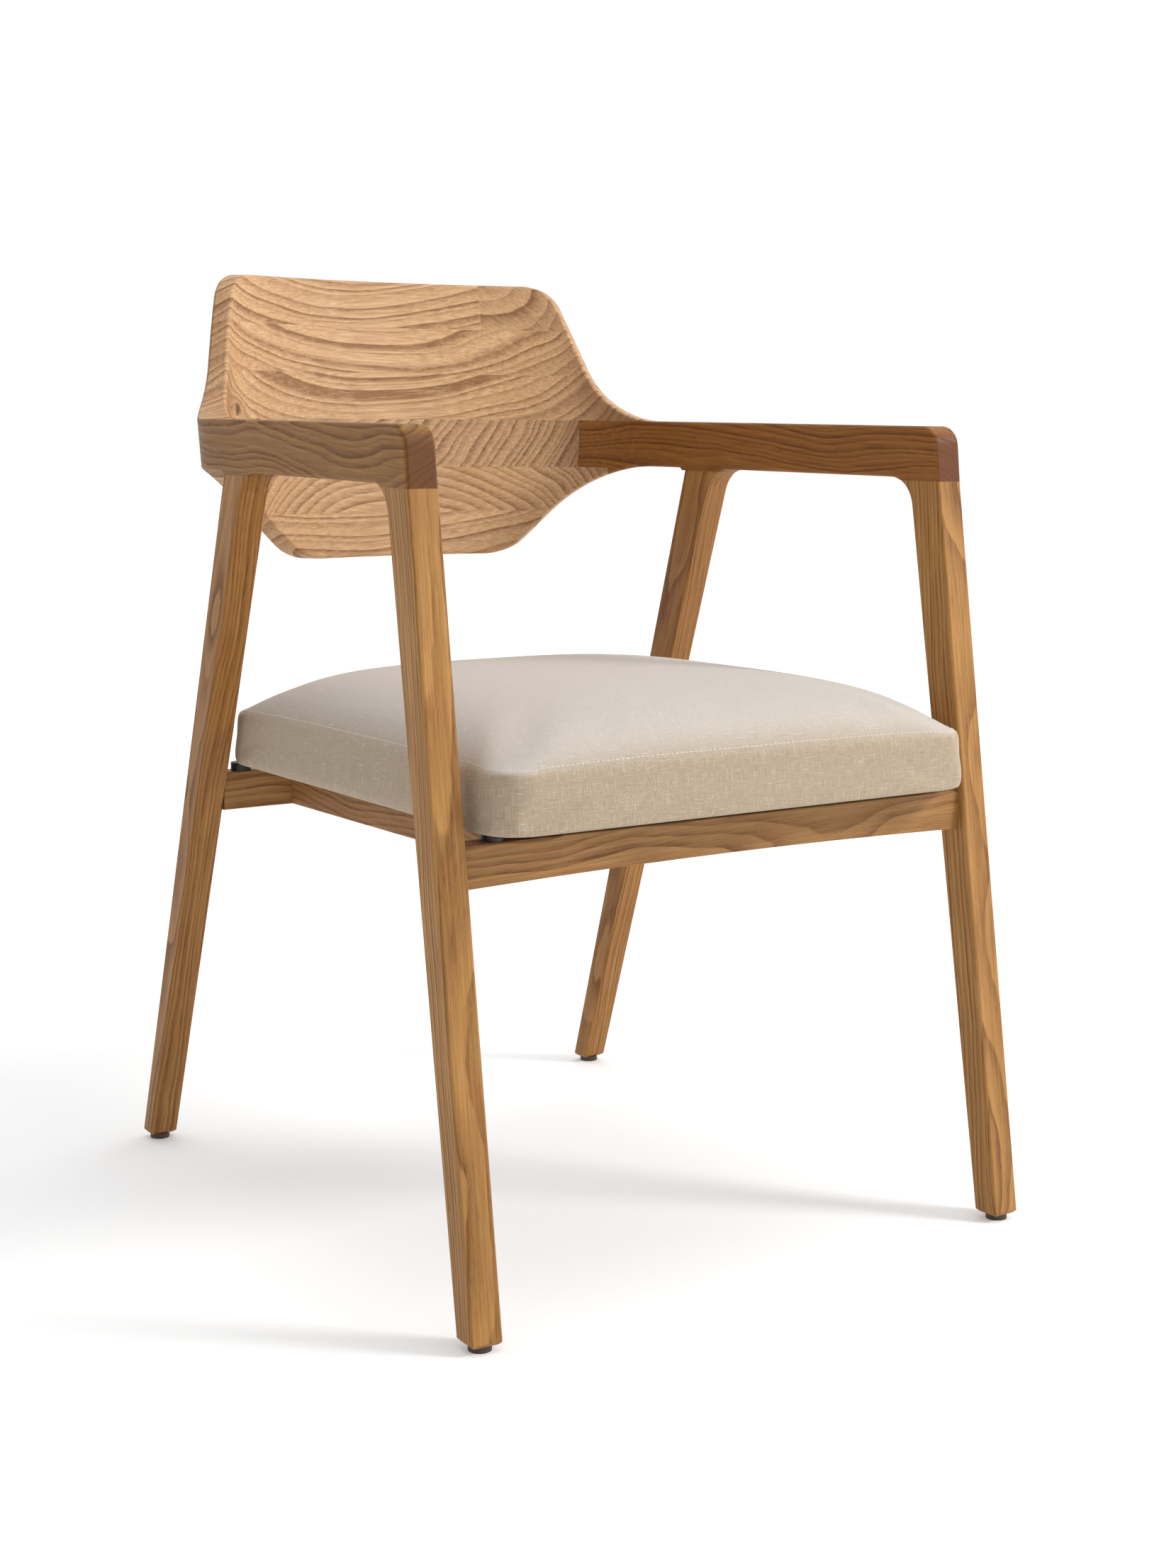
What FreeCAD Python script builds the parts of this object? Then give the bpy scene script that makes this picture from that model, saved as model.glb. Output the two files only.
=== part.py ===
import FreeCAD, Part
import math
import os

import Sketcher

# Open wooden armchair with a fixed upholstered seat.
# Frame: +Z up, floor at Z 0, front faces -Y, X 0 is the plane of symmetry. Millimetres and degrees.
# The "crown" is the laminated top of the chair: six stacked rows of board, with the arms growing
# out of the fourth row. It is shaped level in its own frame, then tilted a little about X.

SIZES = [
    # legs
    ("glide_height", 5.0, "glide disc under each foot"),
    ("frame_thick", 26.5, "thickness of legs and arms, side to side"),
    ("arm_taper", 2.43, "angle by which the two sides close towards the back"),
    ("fleg_top_y", -233.0, "front leg, front edge at the arm seam"),
    ("fleg_foot_y", -322.0, "front leg, front edge at the foot"),
    ("fleg_top_depth", 35.7, "front leg, depth at the arm seam"),
    ("fleg_foot_depth", 25.5, "front leg, depth at the foot"),
    ("fleg_flare", 28.0, "radius of the curve from front leg into arm"),
    ("side_x", 241.4, "middle of the thickness at the top of the rear legs"),
    ("rleg_top_y", 71.0, "rear leg, front edge at the arm seam"),
    ("rleg_foot_y", 293.5, "rear leg, front edge at the foot"),
    ("rleg_top_depth", 39.3, "rear leg, depth at the arm seam"),
    ("rleg_foot_depth", 20.5, "rear leg, depth at the foot"),
    ("rleg_flare", 31.0, "radius of the curve from rear leg into arm"),
    ("rleg_splay", 1.35, "outward lean of the rear legs"),
    ("leg_round", 2.8, "rounding along the legs"),
    ("foot_chamfer", 3.0, "chamfer around each foot"),
    # crown
    ("crown_tilt", 1.0, "tilt of the crown, back upwards"),
    ("crown_height", 629.4, "height of the leg and arm seam plane at Y 0"),
    ("arm_top", 45.8, "top of the arms above the seam plane"),
    ("arm_under", 2.4, "underside of the arms above the seam plane"),
    ("arm_front_lean", 0.13, "lean of the front end of the arms, run over rise"),
    ("arm_front_round", 18.0, "rounding of the top front corner of the arms"),
    ("row_pitch", 43.4, "height of one row of board"),
    ("rake", 0.1725, "lean of the back, run over rise"),
    ("rake_level", 25.6, "level at which the plan stations are given"),
    ("crown_round", 2.8, "rounding along the crown edges"),
    ("front_stave_x", 104.0, "vertical glue joint in the top row"),
    ("mitre_run", -31.1, "run along the corner to the glue joint between arm and back"),
    ("upper_slope", 63.0, "steepest slope of the upper outline at a corner"),
    ("upper_run", -68.4, "run at which that slope would meet the top"),
    ("upper_shoulder", 40.0, "upper outline, radius into the top"),
    ("upper_hollow", 89.4, "upper outline, radius into the arm"),
    ("lower_slope", 47.5, "steepest slope of the lower outline at a corner"),
    ("lower_run", -95.7, "run at which that slope would meet the bottom"),
    ("lower_belly", 45.0, "lower outline, radius into the bottom"),
    ("lower_hollow", 150.0, "lower outline, radius into the arm"),
    ("crown_bottom", -84.4, "bottom of the back below the seam plane"),
    ("lower_board_end", 0.0, "run at which the board under the arm row is cut off square"),
    # rails
    ("rail_bottom", 333.0, "underside of the rails"),
    ("rail_top", 367.0, "top of the rails"),
    ("rail_thick", 20.0, "thickness of the rails"),
    ("front_rail_y", -265.0, "front face of the front rail"),
    ("front_rail_rise", 4.5, "rise of the arched underside of the front rail"),
    ("rear_rail_y", 173.0, "front face of the rear rail"),
    ("side_rail_x", 165.0, "outer face of the side rails"),
    ("rail_round", 1.5, "rounding along the rails"),
    # seat
    ("seat_bottom", 374.5, "underside of the seat"),
    ("seat_boxing", 47.0, "height of the side band of the seat"),
    ("seat_crown", 41.0, "rise of the seat above its side band"),
    ("seat_front_y", -303.0, "front of the seat"),
    ("seat_rear_y", 186.0, "rear of the seat"),
    ("seat_front_half", 236.0, "half width of the seat at the front"),
    ("seat_rear_half", 226.5, "half width of the seat at the rear"),
    ("seat_corner", 26.0, "corner radius of the seat"),
    ("panel_thick", 9.0, "plywood panel under the foam"),
    ("panel_inset", 3.0, "panel edge inside the seat edge"),
    # small parts
    ("spacer_radius", 9.0, "black spacer between rail and seat"),
    ("spacer_x", 212.0, "spacer distance from the middle"),
    ("front_spacer_back", 10.0, "front spacers behind the front face of their rail"),
    ("rear_spacer_back", 6.0, "rear spacers behind the front face of their rail"),
    ("screw_radius", 2.4, "seat screw shank"),
    ("screw_head_radius", 4.6, "seat screw head"),
    ("screw_head_height", 3.0, "seat screw head"),
    ("screw_bite", 7.0, "seat screw length inside the panel"),
    ("bore_radius", 5.2, "bore for a screw head in the underside of a rail"),
    ("bore_depth", 12.0, "bore for a screw head in the underside of a rail"),
    ("dowel_radius", 4.0, "dowel radius"),
    ("dowel_length", 36.0, "length of the leg top and side rail dowels"),
    ("rail_dowel_length", 28.0, "length of the dowels between a leg and a cross rail"),
    ("mitre_dowel_length", 26.0, "length of the dowels between arm and back"),
    ("dowel_pitch", 14.0, "distance between the two dowels of a joint"),
    ("side_dowel_shift", 6.0, "side rail dowels sit deeper in the side rail by this much"),
    ("glide_radius", 9.0, "glide disc radius"),
    ("glide_pin_radius", 1.5, "glide pin radius"),
    ("glide_pin_length", 14.0, "glide pin length"),
]

# Stations of the crown seen from above, right half, from the middle of the back to the arm:
# share of the half width, distance from Y 0 on the inner face, thickness of the wood there.
STATIONS = [
    (0.0, 278.0, 20.0),
    (0.25, 273.5, 19.5),
    (0.50, 259.3, 18.5),
    (0.685, 241.2, 18.0),
    (0.797, 219.3, 19.5),
    (0.867, 191.5, 26.0),
    (0.909, 159.0, 29.5),
    (0.934, 120.0, 27.6),
]

doc = FreeCAD.newDocument("Armchair")
sheet = doc.addObject("Spreadsheet::Sheet", "Sizes")
for row, (alias, value, note) in enumerate(SIZES, start=1):
    sheet.set("A%d" % row, note)
    sheet.set("B%d" % row, repr(value))
    sheet.setAlias("B%d" % row, alias)
doc.recompute()

V = FreeCAD.Vector
ZERO = V(0, 0, 0)
X_AXIS, Y_AXIS, Z_AXIS = V(1, 0, 0), V(0, 1, 0), V(0, 0, 1)


def size(alias):
    return float(sheet.get(alias))


def bind(obj, prop, text):
    """Bind a property to the sheet; a leading @ in a word stands for a sheet name."""
    obj.setExpression(prop, text.replace("@", "Sizes."))


# ---------------------------------------------------------------- PartDesign helpers

def new_body(name):
    body = doc.addObject("PartDesign::Body", name)
    body.Label = name
    return body


def origin_plane(body, role):
    return next(p for p in body.Origin.OriginFeatures if p.Role == role)


def new_sketch(body, name, role, offset=None):
    sketch = body.newObject("Sketcher::SketchObject", name)
    sketch.AttachmentSupport = (origin_plane(body, role), [""])
    sketch.MapMode = "FlatFace"
    if offset is not None:
        sketch.AttachmentOffset = offset
    return sketch


def draw_rectangle(sketch, x0, y0, x1, y1):
    """Rectangle whose four sides are held by named distances."""
    corners = [V(x0, y0, 0), V(x1, y0, 0), V(x1, y1, 0), V(x0, y1, 0)]
    for i in range(4):
        sketch.addGeometry(Part.LineSegment(corners[i], corners[(i + 1) % 4]), False)
    for i in range(4):
        sketch.addConstraint(Sketcher.Constraint("Coincident", i, 2, (i + 1) % 4, 1))
    for i, kind in enumerate(("Horizontal", "Vertical", "Horizontal", "Vertical")):
        sketch.addConstraint(Sketcher.Constraint(kind, i))
    for name, kind, geo, pos, value in (("left", "DistanceX", 0, 1, x0), ("low", "DistanceY", 0, 1, y0),
                                        ("right", "DistanceX", 1, 2, x1), ("high", "DistanceY", 1, 2, y1)):
        index = sketch.addConstraint(Sketcher.Constraint(kind, geo, pos, value))
        sketch.renameConstraint(index, name)


def draw_wire(sketch, pieces):
    """Closed outline of lines and arcs that already meet end to end."""
    for i, piece in enumerate(pieces):
        sketch.addGeometry(piece, False)
        sketch.addConstraint(Sketcher.Constraint("Block", i))


def pad(body, sketch, name, length, middle=False, reverse=False):
    feature = body.newObject("PartDesign::Pad", name)
    feature.Profile = sketch
    bind(feature, "Length", length)
    feature.Midplane = middle
    feature.Reversed = reverse
    sketch.Visibility = False
    return feature


def cut_away(body, sketch, name, reverse=False, depth=None):
    feature = body.newObject("PartDesign::Pocket", name)
    feature.Profile = sketch
    if depth is None:
        feature.Type = "ThroughAll"
    else:
        bind(feature, "Length", depth)
    feature.Reversed = reverse
    sketch.Visibility = False
    return feature


def edge_names(shape, keep):
    return ["Edge%d" % (i + 1) for i, edge in enumerate(shape.Edges) if keep(edge)]


def dress(body, kind, name, base, edges, text):
    feature = body.newObject("PartDesign::" + kind, name)
    feature.Base = (base, edges)
    bind(feature, "Radius" if kind == "Fillet" else "Size", text)
    return feature


# ---------------------------------------------------------------- frames

def crown_place():
    return FreeCAD.Placement(V(0, 0, size("crown_height")),
                             FreeCAD.Rotation(X_AXIS, size("crown_tilt")))


def seam_point(x, y):
    """Point of the seam plane above plan position x, y."""
    return V(x, y, size("crown_height") + y * math.tan(math.radians(size("crown_tilt"))))


def leg_mid_y(kind):
    return size(kind + "_top_y") + size(kind + "_top_depth") / 2


def side_mid_x(y):
    """Middle of the thickness of a side frame at the given Y."""
    return size("side_x") + math.tan(math.radians(size("arm_taper"))) * (leg_mid_y("rleg") - y)


def leg_place(kind, side):
    """Frame of a leg: origin in the seam plane, middle of its top, X across and Z up the leg."""
    mid_y = leg_mid_y(kind)
    splay = size("rleg_splay") if kind == "rleg" else 0.0
    turn = FreeCAD.Rotation(Z_AXIS, side * size("arm_taper"))
    lean = FreeCAD.Rotation(Y_AXIS, -side * splay)
    return FreeCAD.Placement(seam_point(side * side_mid_x(mid_y), mid_y), turn.multiply(lean))


# ---------------------------------------------------------------- legs

def flare_arc(corner, along_leg, along_arm, radius):
    """Arc that eases the corner between a leg line and the arm underside.

    Returns the tangent point on the leg, the centre and the tangent point on the arm."""
    half = along_leg.getAngle(along_arm) / 2
    reach = radius / math.tan(half)
    middle = (along_leg + along_arm)
    middle.normalize()
    centre = corner + middle * (radius / math.sin(half))
    return corner + along_leg * reach, centre, corner + along_arm * reach


def leg_lines(kind):
    """Front and back line of a leg in its own frame, as (foot point, top point)."""
    top_depth = size(kind + "_top_depth")
    drop = seam_point(0, leg_mid_y(kind)).z - size("glide_height")
    run = size(kind + "_foot_y") - size(kind + "_top_y")
    front_top = V(-top_depth / 2, 0, 0)
    back_top = V(top_depth / 2, 0, 0)
    front_foot = front_top + V(run, -drop, 0)
    back_foot = front_foot + V(size(kind + "_foot_depth"), 0, 0)
    return (front_foot, front_top), (back_foot, back_top)


def stretch(foot, top, level):
    """Point of the line foot-top at the given height."""
    return foot + (top - foot) * ((level - foot.y) / (top.y - foot.y))


def leg_flare(kind):
    """Flare of a leg in its own frame: leg tangent point, centre, arm tangent point."""
    front, back = leg_lines(kind)
    foot, top = back if kind == "fleg" else front
    tilt = math.radians(size("crown_tilt"))
    outward = 1 if kind == "fleg" else -1
    along_leg = foot - top
    along_leg.normalize()
    along_arm = V(outward * math.cos(tilt), outward * math.sin(tilt), 0)
    under = V(0, size("arm_under") / math.cos(tilt), 0)
    gap = top - under
    crossing = along_leg.y * along_arm.x - along_leg.x * along_arm.y
    corner = top + along_leg * ((gap.x * along_arm.y - gap.y * along_arm.x) / crossing)
    return flare_arc(corner, along_leg, along_arm, size(kind + "_flare"))


def leg_outline(kind):
    """Side outline of a leg, with the start of the arm above it; both ends are trimmed later."""
    front, back = leg_lines(kind)
    low = front[0].y - 2.0
    high = 14.0
    plain, flared = (front, back) if kind == "fleg" else (back, front)
    outward = 1 if kind == "fleg" else -1
    tangent, centre, end = leg_flare(kind)
    halfway = (tangent - centre) + (end - centre)
    halfway.normalize()
    arc = Part.Arc(tangent, centre + halfway * size(kind + "_flare"), end)
    shoulder = end + V(outward * 12.0, 0, 0)
    corners = [shoulder, V(shoulder.x, high, 0), stretch(*plain, high), stretch(*plain, low),
               stretch(*flared, low), tangent]
    lines = [Part.LineSegment(corners[i], corners[i + 1]) for i in range(5)]
    return lines + [arc, Part.LineSegment(end, shoulder)]


def make_leg(name, kind, side):
    body = new_body(name + "_blank")
    place = leg_place(kind, side)
    outline = new_sketch(body, name + "_outline", "YZ_Plane")
    draw_wire(outline, leg_outline(kind))
    pad(body, outline, name + "_blank", "@frame_thick", middle=True)
    back_turn = place.Rotation.inverted()
    foot = FreeCAD.Placement(back_turn.multVec(V(0, 0, size("glide_height") - place.Base.z)), back_turn)
    foot_sketch = new_sketch(body, name + "_foot", "XY_Plane", foot)
    draw_rectangle(foot_sketch, -400, -400, 400, 400)
    footed = cut_away(body, foot_sketch, name + "_foot_trim")
    doc.recompute()
    lowest = min(footed.Shape.Faces, key=lambda f: f.CenterOfMass.z)
    ring = edge_names(footed.Shape, lambda e: any(e.isSame(other) for other in lowest.Edges))
    bevelled = dress(body, "Chamfer", name + "_foot_chamfer", footed, ring, "@foot_chamfer")
    doc.recompute()
    low = bevelled.Shape.BoundBox.ZMin
    half = size("frame_thick") / 2
    long_edges = edge_names(bevelled.Shape, lambda e: e.CenterOfMass.z < 4 and e.Length > 10.5 and
                            low + 8 < e.CenterOfMass.z and
                            all(abs(abs(v.X) - half) < 0.01 for v in e.Vertexes))
    dress(body, "Fillet", name + "_eased", bevelled, long_edges, "@leg_round")
    seam = FreeCAD.Placement(ZERO, back_turn.multiply(crown_place().Rotation))
    seam_sketch = new_sketch(body, name + "_seam", "XY_Plane", seam)
    draw_rectangle(seam_sketch, -400, -400, 400, 400)
    trimmed = cut_away(body, seam_sketch, name + "_seam_trim", reverse=True)
    body.Tip = trimmed
    body.Placement = place
    doc.recompute()
    return body


def foot_centre(kind, side):
    """Middle of a foot's underside."""
    front, back = leg_lines(kind)
    middle = (front[0] + back[0]) * 0.5
    return leg_place(kind, side).multVec(V(0, middle.x, middle.y))


# ---------------------------------------------------------------- crown

def to_crown(kind, point):
    """Point of a leg frame (along, up) as (along, up) of the crown frame."""
    tilt = math.radians(size("crown_tilt"))
    origin = leg_mid_y(kind) / math.cos(tilt)
    return (origin + point.x * math.cos(tilt) + point.y * math.sin(tilt),
            point.y * math.cos(tilt) - point.x * math.sin(tilt))


def crown_top():
    return size("arm_top") + 3 * size("row_pitch")


def smooth(points, start=None, end=None):
    curve = Part.BSplineCurve()
    if start is None:
        curve.interpolate(points)
    else:
        curve.interpolate(points, InitialTangent=start, FinalTangent=end)
    return curve


def mirrored(points):
    """Points of the right half, preceded by their mirror images from the left."""
    left = [V(-p.x, p.y, p.z) for p in reversed(points) if p.x > 0.001]
    return left + points


def plan_walls():
    """Inner and outer plan curve of the crown from left arm to right arm, and the arm direction."""
    taper = math.radians(size("arm_taper"))
    forward = V(math.sin(taper), -math.cos(taper), 0)
    half = size("frame_thick") / 2
    join_y = 84.0
    join_x = side_mid_x(join_y) - half
    inner = [V(share * size("side_x"), y, 0) for share, y, _ in STATIONS] + [V(join_x, join_y, 0)]
    thick = [t for _, _, t in STATIONS] + [size("frame_thick")]
    back_left = V(forward.x, -forward.y, 0)
    inner_curve = smooth(mirrored(inner), back_left, forward)
    outer = []
    for point, depth in zip(inner, thick):
        tangent = inner_curve.tangent(inner_curve.parameter(point))[0]
        normal = V(-tangent.y, tangent.x, 0)
        outer.append(point + normal * depth)
    outer[0].x = 0.0
    outer_curve = smooth(mirrored(outer), back_left, forward)
    return inner_curve, outer_curve, inner[-1], outer[-1], forward


def crown_band():
    """The full-height U of wood that the crown is carved from, and its inner and outer walls."""
    inner_curve, outer_curve, inner_end, outer_end, forward = plan_walls()
    reach = forward * 380.0
    rise = crown_top() - size("crown_bottom")
    shift = V(0, size("rake") * (size("crown_bottom") - size("rake_level")), size("crown_bottom"))

    def flip(p):
        return V(-p.x, p.y, p.z)

    inner_far, outer_far = inner_end + reach, outer_end + reach
    inner_wall = [Part.LineSegment(flip(inner_far), flip(inner_end)), inner_curve,
                  Part.LineSegment(inner_end, inner_far)]
    outer_wall = [Part.LineSegment(outer_far, outer_end), outer_curve,
                  Part.LineSegment(flip(outer_end), flip(outer_far))]
    closing = [Part.LineSegment(inner_far, outer_far),
               Part.LineSegment(flip(outer_far), flip(inner_far))]
    outer_curve.reverse()
    edges = [g.toShape() for g in inner_wall + [closing[0]] + outer_wall + [closing[1]]]
    wire = Part.Wire(Part.__sortEdges__(edges))
    wire.translate(shift)
    lift = V(0, size("rake") * rise, rise)
    walls = []
    for group in (inner_wall, outer_wall):
        shell = Part.Wire(Part.__sortEdges__([g.toShape() for g in group]))
        shell.translate(shift)
        walls.append(shell.extrude(lift))
    return Part.Face(wire).extrude(lift), walls


def corner_curve(slope, run, level, radius, next_level, next_radius):
    """Outline that leaves one level, slopes to the next and runs level again: three pieces.

    Pairs are run along the corner and height; the slope would meet the first level at run."""
    turn = math.radians(slope)
    down = -1 if next_level < level else 1
    reach = radius * math.tan(turn / 2)
    next_reach = next_radius * math.tan(turn / 2)
    start = (run - reach, level)
    first = (run + reach * math.cos(turn), level + down * reach * math.sin(turn))
    first_middle = (start[0] + radius * math.sin(turn / 2),
                    level + down * radius * (1 - math.cos(turn / 2)))
    next_run = run + abs(next_level - level) / math.tan(turn)
    second = (next_run - next_reach * math.cos(turn), next_level - down * next_reach * math.sin(turn))
    end = (next_run + next_reach, next_level)
    second_middle = (end[0] - next_radius * math.sin(turn / 2),
                     next_level - down * next_radius * (1 - math.cos(turn / 2)))
    return [start, first_middle, first, second, second_middle, end]


def slanted_prism(curve, corners, side):
    """Prism cut square to one corner of the back, from a corner curve and the corners that close it."""
    across = V(side * math.sqrt(0.5), -math.sqrt(0.5), 0)
    through = V(side * math.sqrt(0.5), math.sqrt(0.5), 0)

    def spot(pair):
        return across * pair[0] + V(0, 0, pair[1]) - through * 420

    start, first_middle, first, second, second_middle, end = [spot(pair) for pair in curve]
    pieces = [Part.Arc(start, first_middle, first), Part.LineSegment(first, second),
              Part.Arc(second, second_middle, end)]
    ring = [end] + [spot(pair) for pair in corners] + [start]
    pieces += [Part.LineSegment(ring[i], ring[i + 1]) for i in range(len(ring) - 1)]
    wire = Part.Wire(Part.__sortEdges__([piece.toShape() for piece in pieces]))
    return Part.Face(wire).extrude(through * 840)


def corner_box(side, run_from, run_to, low, high):
    """Box set square to one corner of the back."""
    box = Part.makeBox(run_to - run_from, 840, high - low, V(run_from, -420, low))
    box.rotate(ZERO, Z_AXIS, -45 if side > 0 else -135)
    return box


def side_prism(pieces):
    """Prism across the whole chair from an outline of (along, up) drawn pieces."""
    wire = Part.Wire(Part.__sortEdges__([piece.toShape() for piece in pieces]))
    wire.translate(V(-420, 0, 0))
    return Part.Face(wire).extrude(V(840, 0, 0))


def yz(pair):
    return V(0, pair[0], pair[1])


def under_cutter():
    """What lies under the arms, between and behind the legs; the tops of the legs stay as stubs."""
    low = size("crown_bottom") - 30.0
    marks = {}
    for kind in ("fleg", "rleg"):
        tangent, centre, end = leg_flare(kind)
        middle = (tangent - centre) + (end - centre)
        middle.normalize()
        middle = centre + middle * size(kind + "_flare")
        front, back = leg_lines(kind)
        line = back if kind == "fleg" else front
        marks[kind] = [yz(to_crown(kind, q)) for q in (stretch(*line, low), tangent, middle, end)]
    fleg, rleg = marks["fleg"], marks["rleg"]
    pieces = [Part.LineSegment(fleg[0], fleg[1]), Part.Arc(fleg[1], fleg[2], fleg[3]),
              Part.LineSegment(fleg[3], rleg[3]), Part.Arc(rleg[3], rleg[2], rleg[1]),
              Part.LineSegment(rleg[1], rleg[0]), Part.LineSegment(rleg[0], fleg[0])]
    between = side_prism(pieces)
    front, back = leg_lines("rleg")
    heel = [V(*to_crown("rleg", stretch(*back, level)), 0) for level in (low, 30.0)]
    down = heel[0] - heel[1]
    down.normalize()
    corner = stretch(heel[0], heel[1], size("arm_under"))
    tangent, centre, end = flare_arc(corner, down, V(1, 0, 0), 7.0)
    middle = (tangent - centre) + (end - centre)
    middle.normalize()
    middle = centre + middle * 7.0
    ring = [heel[0], tangent, middle, end, V(260.0, size("arm_under"), 0), V(260.0, low, 0)]
    ring = [yz((q.x, q.y)) for q in ring]
    pieces = [Part.LineSegment(ring[0], ring[1]), Part.Arc(ring[1], ring[2], ring[3]),
              Part.LineSegment(ring[3], ring[4]), Part.LineSegment(ring[4], ring[5]),
              Part.LineSegment(ring[5], ring[0])]
    return between, side_prism(pieces)


def front_cutter():
    """What lies in front of the arm ends, with their rounded top corner."""
    lean = V(size("arm_front_lean"), 1, 0)
    lean.normalize()
    foot = V(size("fleg_top_y"), 0, 0)
    corner = foot + lean * (size("arm_top") / lean.y)
    radius = size("arm_front_round")
    tangent, centre, end = flare_arc(corner, lean * -1, V(1, 0, 0), radius)
    middle = (tangent - centre) + (end - centre)
    middle.normalize()
    middle = centre + middle * radius
    low = foot + lean * ((size("crown_bottom") - 30) / lean.y)
    ring = [yz((q.x, q.y)) for q in (low, tangent, middle, end)]
    ring += [V(0, end.x, 80), V(0, -480, 80), V(0, -480, ring[0].z)]
    pieces = [Part.LineSegment(ring[0], ring[1]), Part.Arc(ring[1], ring[2], ring[3])]
    pieces += [Part.LineSegment(ring[i], ring[(i + 1) % 7]) for i in range(3, 7)]
    return side_prism(pieces)


def carve_crown():
    band, walls = crown_band()
    arm_top, under, top, bottom = size("arm_top"), size("arm_under"), crown_top(), size("crown_bottom")
    upper = corner_curve(size("upper_slope"), size("upper_run"), top, size("upper_shoulder"),
                         arm_top, size("upper_hollow"))
    lower = corner_curve(size("lower_slope"), size("lower_run"), bottom, size("lower_belly"),
                         under, size("lower_hollow"))
    between, heel = under_cutter()
    cutters = [between, front_cutter()]
    flat = lower[-1][0]
    for side in (-1, 1):
        cutters.append(heel.common(corner_box(side, flat + 10.0, 480.0, bottom - 60, top)))
        cutters.append(slanted_prism(upper, [(480.0, arm_top), (480.0, top + 60),
                                             (upper[0][0], top + 60)], side))
        cutters.append(slanted_prism(lower, [(flat + 22.0, under), (flat + 22.0, bottom - 60),
                                             (lower[0][0], bottom - 60)], side))
    carved = band
    for cutter in cutters:
        carved = carved.cut(cutter)
    return carved.removeSplitter(), walls


def on_wall(edge, walls):
    middle = edge.valueAt((edge.FirstParameter + edge.LastParameter) / 2)
    point = Part.Vertex(middle)
    return any(wall.distToShape(point)[0] < 0.002 for wall in walls)


def ease_crown(carved, walls):
    """Round every edge between a wall and the outline; edges inside a wall are smooth already."""
    chosen = []
    stub_end = size("crown_bottom") + 0.5
    for edge in carved.Edges:
        if not on_wall(edge, walls):
            continue
        faces = carved.ancestorsOfType(edge, Part.Face)
        centres = [Part.Vertex(f.valueAt(*[sum(f.ParameterRange[k:k + 2]) / 2 for k in (0, 2)]))
                   for f in faces]
        if all(min(w.distToShape(c)[0] for w in walls) < 0.002 for c in centres):
            continue
        if edge.BoundBox.ZMax < stub_end and abs(edge.CenterOfMass.x) > 215:
            continue
        chosen.append(edge)
    return carved.makeFillet(size("crown_round"), chosen)


def slab(shape, low, high):
    """The part of a crown shape between two levels."""
    return shape.common(Part.makeBox(680, 960, high - low, V(-340, -480, low)))


def largest(shape):
    return max(shape.Solids, key=lambda solid: solid.Volume)


def crown_pieces(rounded):
    """The crown cut along its glue lines: piece name to shape, in the crown frame."""
    pitch, arm_top = size("row_pitch"), size("arm_top")
    split_x = size("front_stave_x")
    first = slab(rounded, arm_top + 2 * pitch, crown_top() + 1)
    left_half = Part.makeBox(340 + split_x, 960, 200, V(-340, -480, arm_top))
    lower_level = -(pitch - 1.2)
    board_end = size("lower_board_end")
    fifth = largest(slab(rounded, lower_level, 0))
    for side in (-1, 1):
        fifth = fifth.cut(corner_box(side, board_end, 480, lower_level - 1, 1))
    pieces = {
        "back_row_1_left": first.common(left_half),
        "back_row_1_right": first.cut(left_half),
        "back_row_2": slab(rounded, arm_top + pitch, arm_top + 2 * pitch),
        "back_row_3": slab(rounded, arm_top, arm_top + pitch),
        "back_row_5": fifth,
        "back_row_6": slab(rounded, size("crown_bottom") - 1, lower_level),
    }
    middle = slab(rounded, 0, arm_top)
    for side, word in ((-1, "left"), (1, "right")):
        beyond = corner_box(side, size("mitre_run"), 480, -1, arm_top + 1)
        tail = corner_box(side, board_end, board_end + 60.0, lower_level, 1)
        zone = Part.makeBox(340, 960, arm_top, V(min(0, side * 340), -480, 0))
        pieces["arm_" + word] = rounded.common(zone.common(beyond).fuse(tail).removeSplitter())
        middle = middle.cut(beyond)
    pieces["back_row_4"] = middle
    return {name: largest(shape) for name, shape in pieces.items()}


def mitre_centre(rounded, side):
    """Middle of the joint face between an arm and the back, in the crown frame."""
    run = size("mitre_run")
    slice_box = corner_box(side, run - 0.5, run + 0.5, 0, size("arm_top"))
    slices = rounded.common(slice_box).Solids
    return max(slices, key=lambda solid: solid.CenterOfMass.y).CenterOfMass


# ---------------------------------------------------------------- dowels, screws and holes

def add_cylinder(name, radius, length, base, direction, half_back=0.5):
    """Part cylinder along a direction; half_back is the share of its length behind the base point."""
    cylinder = doc.addObject("Part::Cylinder", name)
    bind(cylinder, "Radius", radius)
    bind(cylinder, "Height", length)
    doc.recompute()
    start = base - direction * (cylinder.Height.Value * half_back)
    cylinder.Placement = FreeCAD.Placement(start, FreeCAD.Rotation(Z_AXIS, direction))
    return cylinder


def group(name, members):
    compound = doc.addObject("Part::Compound", name)
    compound.Label = name
    compound.Links = members
    for member in members:
        member.Visibility = False
    return compound


def inner_face(kind, side):
    """Point on the inner face of a leg and the direction from it towards the middle."""
    place = leg_place(kind, side)
    inward = place.Rotation.multVec(V(-side, 0, 0))
    return place.Base + inward * (size("frame_thick") / 2), inward


def on_inner_face(kind, side, y, z):
    """Point of the inner face of a leg at the given Y and Z."""
    base, inward = inner_face(kind, side)
    x = base.x - ((y - base.y) * inward.y + (z - base.z) * inward.z) / inward.x
    return V(x, y, z)


def rail_mid_y(end):
    return size(end + "_rail_y") + size("rail_thick") / 2


def rail_levels():
    """Heights of the two dowels in a rail joint."""
    middle = (size("rail_bottom") + size("rail_top")) / 2
    return middle - size("dowel_pitch") / 2, middle + size("dowel_pitch") / 2


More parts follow.
